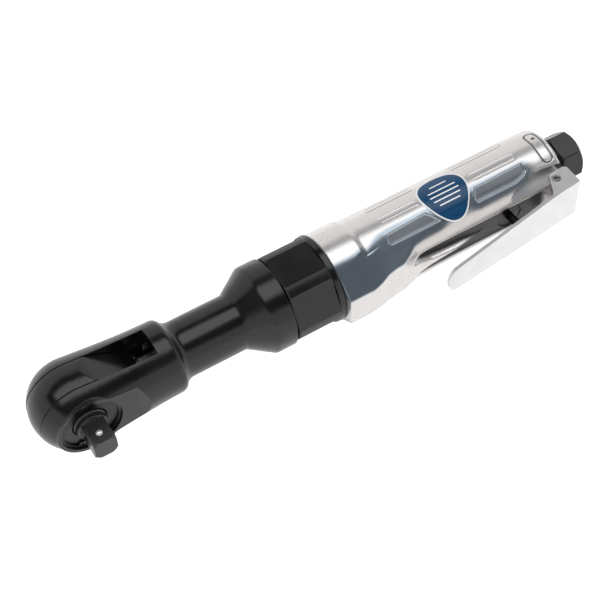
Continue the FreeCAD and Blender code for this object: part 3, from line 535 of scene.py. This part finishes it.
class Shader:
    # Short way to wire a material's nodes.

    def __init__(self, name):
        self.material = bpy.data.materials.new(name)
        self.material.use_nodes = True
        self.tree = self.material.node_tree
        self.tree.nodes.clear()
        self.output = self.add("ShaderNodeOutputMaterial")
        self.surface = self.add("ShaderNodeBsdfPrincipled")
        self.wire(self.surface, "BSDF", self.output, "Surface")
        self.place = self.add("ShaderNodeTexCoord")

    def add(self, kind, **settings):
        node = self.tree.nodes.new(kind)
        for key, value in settings.items():
            setattr(node, key, value)
        return node

    def wire(self, source, output, target, entry):
        self.tree.links.new(source.outputs[output], target.inputs[entry])

    def noise(self, scale, detail=4.0, stretch=(1.0, 1.0, 1.0), rough=0.55):
        # Noise in object space, scale per metre, stretched along the axes.
        mapping = self.add("ShaderNodeMapping")
        mapping.inputs["Scale"].default_value = stretch
        node = self.add("ShaderNodeTexNoise")
        node.inputs["Scale"].default_value = scale
        node.inputs["Detail"].default_value = detail
        node.inputs["Roughness"].default_value = rough
        self.wire(self.place, "Object", mapping, "Vector")
        self.wire(mapping, "Vector", node, "Vector")
        return node

    def ramp(self, source, output, stops):
        # Colour or grey ramp over (place, colour) stops.
        node = self.add("ShaderNodeValToRGB")
        points = node.color_ramp.elements
        while len(points) < len(stops):
            points.new(0.5)
        for point, (place, colour) in zip(points, stops):
            point.position = place
            point.color = tuple(colour) + (1.0,) if len(colour) == 3 else colour
        self.wire(source, output, node, "Fac")
        return node

    def range(self, source, output, low, high, to_low, to_high):
        node = self.add("ShaderNodeMapRange")
        node.inputs["From Min"].default_value = low
        node.inputs["From Max"].default_value = high
        node.inputs["To Min"].default_value = to_low
        node.inputs["To Max"].default_value = to_high
        self.wire(source, output, node, "Value")
        return node

    def blend(self, share, share_output, first, second):
        # Mix of two colours, each a colour or a (node, output) pair.
        node = self.add("ShaderNodeMix", data_type="RGBA")
        self.wire(share, share_output, node, 0)
        for entry, colour in ((6, first), (7, second)):
            if isinstance(colour[0], float):
                node.inputs[entry].default_value = tuple(colour) + (1.0,)
            else:
                self.tree.links.new(colour[0].outputs[colour[1]], node.inputs[entry])
        return node

    def bump(self, source, output, strength, distance):
        node = self.add("ShaderNodeBump")
        node.inputs["Strength"].default_value = strength
        node.inputs["Distance"].default_value = distance
        self.wire(source, output, node, "Height")
        return node

    def edges(self, radius):
        # Bright 1 near convex edges from the bevelled normal against the true one.
        bevel = self.add("ShaderNodeBevel", samples=4)
        bevel.inputs["Radius"].default_value = radius
        true = self.add("ShaderNodeNewGeometry")
        dot = self.add("ShaderNodeVectorMath", operation="DOT_PRODUCT")
        self.wire(bevel, "Normal", dot, 0)
        self.wire(true, "Normal", dot, 1)
        return self.range(dot, "Value", 0.985, 0.9, 0.0, 1.0), bevel

    def set(self, **values):
        for key, value in values.items():
            self.surface.inputs[key.replace("_", " ")].default_value = value


def black_finish(name, rough_low, rough_high, tint, scuff):
    # Black oxide paint with a soft sheen, fine grain and slightly worn edges.
    m = Shader(name)
    cloud = m.noise(60.0, 5.0)
    grain = m.noise(1400.0, 3.0)
    colour = m.ramp(cloud, "Fac", [(0.3, tint), (0.75, tuple(c * 1.5 + 0.001 for c in tint))])
    worn, bevel = m.edges(0.00035)
    patchy = m.noise(420.0, 3.0)
    worn_amount = m.add("ShaderNodeMath", operation="MULTIPLY")
    patch = m.range(patchy, "Fac", 0.45, 0.62, 0.0, scuff)
    m.wire(worn, "Result", worn_amount, 0)
    m.wire(patch, "Result", worn_amount, 1)
    final = m.blend(worn_amount, "Value", (colour, "Color"), (0.12, 0.12, 0.125))
    m.wire(final, 2, m.surface, "Base Color")
    rough = m.range(cloud, "Fac", 0.25, 0.75, rough_low, rough_high)
    m.wire(rough, "Result", m.surface, "Roughness")
    bump = m.bump(grain, "Fac", 0.12, 0.00004)
    m.wire(bevel, "Normal", bump, "Normal")
    m.wire(bump, "Normal", m.surface, "Normal")
    m.set(IOR=1.55)
    return m.material


def aluminium_finish():
    # Polished die casting: bright skin, duller cast metal in the recesses that is also darkened as
    # painted shade, near-black painted shade where the dark share is set, and a painted dark reflection
    # on the slanted facet.
    m = Shader("polished_casting")
    polish_and_shade = m.add("ShaderNodeAttribute", attribute_name="polish_and_shade")
    dark = m.add("ShaderNodeAttribute", attribute_name="dark")
    painted_reflection = m.add("ShaderNodeAttribute", attribute_name="painted_reflection")
    streaks = m.noise(900.0, 3.0, (0.06, 1.0, 1.0))
    cloud = m.noise(90.0, 4.0)
    grains = m.noise(2600.0, 3.0)
    bright = m.ramp(cloud, "Fac", [(0.25, (0.77, 0.745, 0.73)), (0.8, (0.82, 0.80, 0.79))])
    # Duller cast metal colour, made darker as painted shade in the recesses.
    cast_and_shade_colour = m.ramp(cloud, "Fac", [(0.25, (0.17, 0.20, 0.235)), (0.8, (0.24, 0.275, 0.31))])
    # Near-black painted shade for the channel, slots, valve hole and outline groove.
    painted_shade_colour = m.ramp(cloud, "Fac", [(0.25, (0.035, 0.035, 0.036)), (0.8, (0.06, 0.059, 0.059))])
    # Painted dark reflection colour for the slanted facet.
    painted_reflection_colour = m.ramp(cloud, "Fac", [(0.25, (0.34, 0.39, 0.45)), (0.8, (0.40, 0.46, 0.52))])
    polished_and_reflection = m.blend(painted_reflection, "Fac", (bright, "Color"), (painted_reflection_colour, "Color"))
    skin = m.blend(polish_and_shade, "Fac", (cast_and_shade_colour, "Color"), (polished_and_reflection, 2))
    colour = m.blend(dark, "Fac", (skin, 2), (painted_shade_colour, "Color"))
    m.wire(colour, 2, m.surface, "Base Color")
    smooth_rough = m.range(streaks, "Fac", 0.3, 0.7, 0.26, 0.31)
    rough_mix = m.add("ShaderNodeMix", data_type="FLOAT")
    m.wire(polish_and_shade, "Fac", rough_mix, 0)
    rough_mix.inputs[2].default_value = 0.36
    m.wire(smooth_rough, "Result", rough_mix, 3)
    sharper = m.range(painted_reflection, "Fac", 0.0, 1.0, 1.0, 0.62)
    roughness = m.add("ShaderNodeMath", operation="MULTIPLY")
    m.wire(rough_mix, 0, roughness, 0)
    m.wire(sharper, "Result", roughness, 1)
    m.wire(roughness, "Value", m.surface, "Roughness")
    # Where shade is painted the surface is also less metallic.
    metal = m.range(dark, "Fac", 0.0, 1.0, 0.86, 0.4)
    m.wire(metal, "Result", m.surface, "Metallic")
    first = m.bump(streaks, "Fac", 0.015, 0.00003)
    second = m.bump(grains, "Fac", 0.03, 0.00003)
    m.wire(first, "Normal", second, "Normal")
    m.wire(second, "Normal", m.surface, "Normal")
    return m.material


def bare_metal(name, dark, light, rough_low, rough_high, stretch=(1.0, 1.0, 1.0), metallic=1.0):
    # Turned, ground or plated metal with fine tool marks.
    m = Shader(name)
    cloud = m.noise(120.0, 4.0)
    marks = m.noise(1500.0, 2.0, stretch)
    colour = m.ramp(cloud, "Fac", [(0.3, dark), (0.75, light)])
    worn, bevel = m.edges(0.0002)
    final = m.blend(worn, "Result", (colour, "Color"), tuple(min(1.0, c * 1.12) for c in light))
    m.wire(final, 2, m.surface, "Base Color")
    rough = m.range(marks, "Fac", 0.3, 0.7, rough_low, rough_high)
    m.wire(rough, "Result", m.surface, "Roughness")
    bump = m.bump(marks, "Fac", 0.06, 0.00004)
    m.wire(bevel, "Normal", bump, "Normal")
    m.wire(bump, "Normal", m.surface, "Normal")
    m.set(Metallic=metallic)
    return m.material


def soft_finish(name, dark, light, roughness, grain):
    # Rubber, blade composite and print film.
    m = Shader(name)
    cloud = m.noise(200.0, 5.0)
    grains = m.noise(grain, 3.0)
    colour = m.ramp(cloud, "Fac", [(0.3, dark), (0.75, light)])
    m.wire(colour, "Color", m.surface, "Base Color")
    rough = m.range(grains, "Fac", 0.3, 0.7, roughness * 0.8, roughness * 1.2)
    m.wire(rough, "Result", m.surface, "Roughness")
    bump = m.bump(grains, "Fac", 0.08, 0.00003)
    m.wire(bump, "Normal", m.surface, "Normal")
    return m.material


def slot_materials():
    # One finish for each material slot of the record.
    return {
        "black_steel": black_finish("black_paint", 0.15, 0.23, (0.003, 0.0029, 0.003), 0.35),
        "steel": bare_metal("ground_steel", (0.42, 0.42, 0.43), (0.6, 0.6, 0.61), 0.2, 0.34),
        "spring_steel": bare_metal("spring_wire", (0.2, 0.2, 0.21), (0.34, 0.34, 0.35), 0.25, 0.4),
        "polished_aluminium": aluminium_finish(),
        "chrome_sheet": bare_metal("bright_chrome", (0.80, 0.795, 0.79), (0.88, 0.875, 0.87), 0.14, 0.24,
                                   (0.1, 1.0, 1.0), 0.7),
        "rubber": soft_finish("seal_rubber", (0.012, 0.012, 0.012), (0.03, 0.03, 0.03), 0.6, 1800.0),
        "label_film": soft_finish("label_blue", (0.0, 0.038, 0.105), (0.0, 0.05, 0.135), 0.3, 3000.0),
        "bronze": bare_metal("sintered_bronze", (0.36, 0.22, 0.1), (0.5, 0.32, 0.16), 0.28, 0.42),
        "blade_composite": soft_finish("blade_fibre", (0.1, 0.05, 0.02), (0.2, 0.11, 0.05), 0.5, 900.0),
    }


MATERIALS = slot_materials()
NUT_PAINT = black_finish("nut_paint", 0.2, 0.3, (0.005, 0.0048, 0.005), 0.25)
INLET_PAINT = black_finish("inlet_paint", 0.22, 0.32, (0.005, 0.005, 0.0052), 0.3)
DARK_STEEL = bare_metal("dark_steel", (0.03, 0.03, 0.032), (0.08, 0.08, 0.083), 0.25, 0.4)
RIM_WHITE = soft_finish("label_rim_white", (0.72, 0.73, 0.74), (0.82, 0.83, 0.84), 0.3, 3000.0)
MARK_DARK = soft_finish("mark_dark", (0.03, 0.03, 0.032), (0.06, 0.06, 0.062), 0.4, 2500.0)


def paint(item, material):
    # One material on a piece.
    item.data.materials.clear()
    item.data.materials.append(material)


# ---------------------------------------------------------------- carried-over pieces

SPECIAL_PAINT = {
    "clamp_nut": NUT_PAINT,
    "inlet_bushing": INLET_PAINT,
    "ratchet_anvil": black_finish("drive_paint", 0.22, 0.32, (0.016, 0.0155, 0.016), 0.5),
    "valve_bushing": DARK_STEEL,
    "throttle_valve_stem": DARK_STEEL,
    "retaining_ring": DARK_STEEL,
    "crankshaft": DARK_STEEL,
    "drive_bushing": DARK_STEEL,
    "crank_front_bearing": DARK_STEEL,
    "thrust_plate": DARK_STEEL,
}
ROUNDED = {
    "ratchet_head": 0.0005,
    "ratchet_yoke": 0.0006,
    "ratchet_anvil": 0.0003,
    "clamp_nut": 0.0003,
    "inlet_bushing": 0.0003,
    "throttle_lever": 0.00035,
    "reverse_knob": 0.0004,
}


def soften_node(item, width):
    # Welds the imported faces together, rounds the sharp edges and keeps flat faces flat.
    weld = item.modifiers.new("weld", "WELD")
    weld.merge_threshold = 0.000002
    bevel = item.modifiers.new("bevel", "BEVEL")
    bevel.width = width
    bevel.segments = 2
    bevel.limit_method = "ANGLE"
    bevel.angle_limit = math.radians(35.0)
    bevel.harden_normals = False
    bevel.use_clamp_overlap = True
    bevel.miter_outer = "MITER_ARC"
    normals = item.modifiers.new("normals", "WEIGHTED_NORMAL")
    normals.keep_sharp = True


def finish_nodes():
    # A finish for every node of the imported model.
    slots = {s["node"]: s["material_slot"] for s in frame["record"]["subparts"]}
    for node, item in NODES.items():
        slot = slots[node]
        material = SPECIAL_PAINT.get(node, MATERIALS[slot])
        item.data.materials.clear()
        item.data.materials.append(material)
        if node in ROUNDED:
            soften_node(item, ROUNDED[node])


# ---------------------------------------------------------------- studio

def studio_floor():
    # Wide pale floor, seen only from above.
    size = 3.0
    height = CAD_BOX[0].z - 0.05
    mesh = bpy.data.meshes.new("floor")
    mesh.from_pydata([(-size, -size, height), (size, -size, height), (size, size, height),
                      (-size, size, height)], [], [(0, 1, 2, 3)])
    item = link("floor", mesh)
    m = Shader("floor_white")
    cloud = m.noise(3.0, 2.0)
    colour = m.ramp(cloud, "Fac", [(0.3, (0.86, 0.86, 0.86)), (0.7, (0.88, 0.88, 0.88))])
    m.wire(colour, "Color", m.surface, "Base Color")
    m.set(Roughness=0.9)
    seen = m.add("ShaderNodeLightPath")
    glow = m.range(seen, "Is Camera Ray", 0.0, 1.0, 0.12, 0.42)
    m.surface.inputs["Emission Color"].default_value = (1.0, 0.985, 0.975, 1.0)
    m.wire(glow, "Result", m.surface, "Emission Strength")
    item.data.materials.append(m.material)
    return item


class World:
    # Studio seen by reflections: white walls, dark ceiling, one overhead soft box.

    def __init__(self):
        world = bpy.data.worlds.new("studio")
        bpy.context.scene.world = world
        world.use_nodes = True
        self.tree = world.node_tree
        self.tree.nodes.clear()

    def add(self, kind, **settings):
        node = self.tree.nodes.new(kind)
        for key, value in settings.items():
            setattr(node, key, value)
        return node

    def maths(self, operation, first, second=None):
        node = self.add("ShaderNodeMath", operation=operation)
        for i, value in enumerate((first, second)):
            if isinstance(value, float):
                node.inputs[i].default_value = value
            elif value is not None:
                self.tree.links.new(value, node.inputs[i])
        return node.outputs[0]

    def rise(self, value, start, end):
        node = self.add("ShaderNodeMapRange", interpolation_type="SMOOTHSTEP")
        node.inputs["From Min"].default_value = start
        node.inputs["From Max"].default_value = end
        self.tree.links.new(value, node.inputs["Value"])
        return node.outputs[0]

    def colour_mix(self, share, first, second):
        node = self.add("ShaderNodeMix", data_type="RGBA")
        self.tree.links.new(share, node.inputs[0])
        for entry, colour in ((6, first), (7, second)):
            if isinstance(colour, tuple):
                node.inputs[entry].default_value = colour + (1.0,)
            else:
                self.tree.links.new(colour, node.inputs[entry])
        return node.outputs[2]


WALL = (0.80, 0.785, 0.775)
LOW_WALL = (0.92, 0.91, 0.905)
CEILING = (0.055, 0.066, 0.08)
SOFT_BOX = (1.7, 1.7, 1.7)


def studio_world():
    # Directions are read on a plane one metre overhead: across is x over z, ahead is y over z.
    w = World()
    place = w.add("ShaderNodeTexCoord")
    parts = w.add("ShaderNodeSeparateXYZ")
    w.tree.links.new(place.outputs["Generated"], parts.inputs[0])
    x, y, z = parts.outputs
    height = w.maths("MAXIMUM", z, 0.02)
    across = w.maths("ABSOLUTE", w.maths("DIVIDE", x, height))
    ahead = w.maths("DIVIDE", y, height)
    outside = w.maths("MAXIMUM", w.rise(across, 1.35, 1.9),
                      w.maths("MAXIMUM", w.rise(ahead, 0.55, 0.95),
                              w.rise(w.maths("MULTIPLY", ahead, -1.0), 1.25, 1.75)))
    box_out = w.maths("MAXIMUM", w.rise(across, 0.75, 0.95),
                      w.maths("MAXIMUM", w.rise(ahead, 0.2, 0.36),
                              w.rise(w.maths("MULTIPLY", ahead, -1.0), 0.34, 0.52)))
    low = w.rise(w.maths("MULTIPLY", z, -1.0), -0.45, 0.25)
    wall = w.colour_mix(low, WALL, LOW_WALL)
    ceiling = w.colour_mix(outside, CEILING, wall)
    lit = w.colour_mix(box_out, SOFT_BOX, ceiling)
    seen = w.add("ShaderNodeLightPath")
    shown = w.colour_mix(seen.outputs["Is Camera Ray"], lit, (1.0, 1.0, 1.0))
    background = w.add("ShaderNodeBackground")
    w.tree.links.new(shown, background.inputs["Color"])
    output = w.add("ShaderNodeOutputWorld")
    w.tree.links.new(background.outputs[0], output.inputs["Surface"])


def soft_light(name, place, target, width, depth, watts):
    # Broad area light aimed at the object.
    data = bpy.data.lights.new(name, "AREA")
    data.shape = "RECTANGLE"
    data.size = width
    data.size_y = depth
    data.energy = watts
    item = bpy.data.objects.new(name, data)
    bpy.context.scene.collection.objects.link(item)
    item.location = place
    item.rotation_euler = (Vector(target) - Vector(place)).to_track_quat("-Z", "Y").to_euler()
    item.visible_glossy = False
    return item


CAMERA_AZIMUTH = -29.681
CAMERA_ELEVATION = 52.796
CAMERA_ROLL = -2.547
CAMERA_DISTANCE = 0.59618
CAMERA_LENS = 92.253
CAMERA_TARGET = (0.091316, -0.002346, 0.017485)


def studio_camera():
    # Camera at the viewing angle of the catalogue picture.
    azimuth = math.radians(CAMERA_AZIMUTH)
    elevation = math.radians(CAMERA_ELEVATION)
    roll = math.radians(CAMERA_ROLL)
    back = Vector((math.sin(azimuth) * math.cos(elevation), -math.cos(azimuth) * math.cos(elevation),
                   math.sin(elevation)))
    right = Vector((math.cos(azimuth), math.sin(azimuth), 0.0))
    up = back.cross(right)
    turned_right = right * math.cos(roll) + up * math.sin(roll)
    turned_up = up * math.cos(roll) - right * math.sin(roll)
    data = bpy.data.cameras.new("camera")
    data.sensor_width = 36.0
    data.lens = CAMERA_LENS
    data.clip_start = 0.01
    data.clip_end = 20.0
    item = bpy.data.objects.new("camera", data)
    bpy.context.scene.collection.objects.link(item)
    turn = Matrix((turned_right, turned_up, back)).transposed().to_4x4()
    item.matrix_world = Matrix.Translation(Vector(CAMERA_TARGET) + back * CAMERA_DISTANCE) @ turn
    bpy.context.scene.camera = item


def studio():
    # Floor, surroundings, lights and camera.
    studio_floor()
    studio_world()
    centre = (CAD_BOX[0] + CAD_BOX[1]) / 2
    soft_light("key_light", (centre.x - 0.3, -0.9, 1.3), centre, 1.2, 1.2, 9.0)
    soft_light("fill_light", (centre.x + 0.2, 1.1, 1.0), centre, 1.2, 1.2, 5.0)
    studio_camera()
    settings = bpy.context.scene.view_settings
    settings.view_transform = "Standard"
    settings.look = "None"


# ---------------------------------------------------------------- assembly

def build():
    finish_nodes()
    casting = housing_skin()
    paint(casting, MATERIALS["polished_aluminium"])
    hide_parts("motor_housing")
    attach(casting, "tool_body")
    rim = sheet_on_housing("label_rim", pick_outline(1.0), RIM_THICKNESS, RIM_LIFT)
    paint(rim, RIM_WHITE)
    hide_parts("side_label")
    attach(rim, "tool_body")
    field = sheet_on_housing("label_field", pick_outline(FIELD_SCALE), FIELD_THICKNESS, FIELD_LIFT)
    paint(field, MATERIALS["label_film"])
    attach(field, "tool_body")
    for i, (half, middle) in enumerate(LABEL_LINES):
        bar = label_bar("label_line_%d" % (i + 1), LABEL_X - half, LABEL_X + half, middle, LINE_LIFT)
        paint(bar, RIM_WHITE)
        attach(bar, "tool_body")
    drop = sheet_on_housing("oil_drop_mark", drop_outline(), DROP_THICKNESS, DROP_LIFT)
    paint(drop, MARK_DARK)
    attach(drop, "tool_body")
    studio()


build()
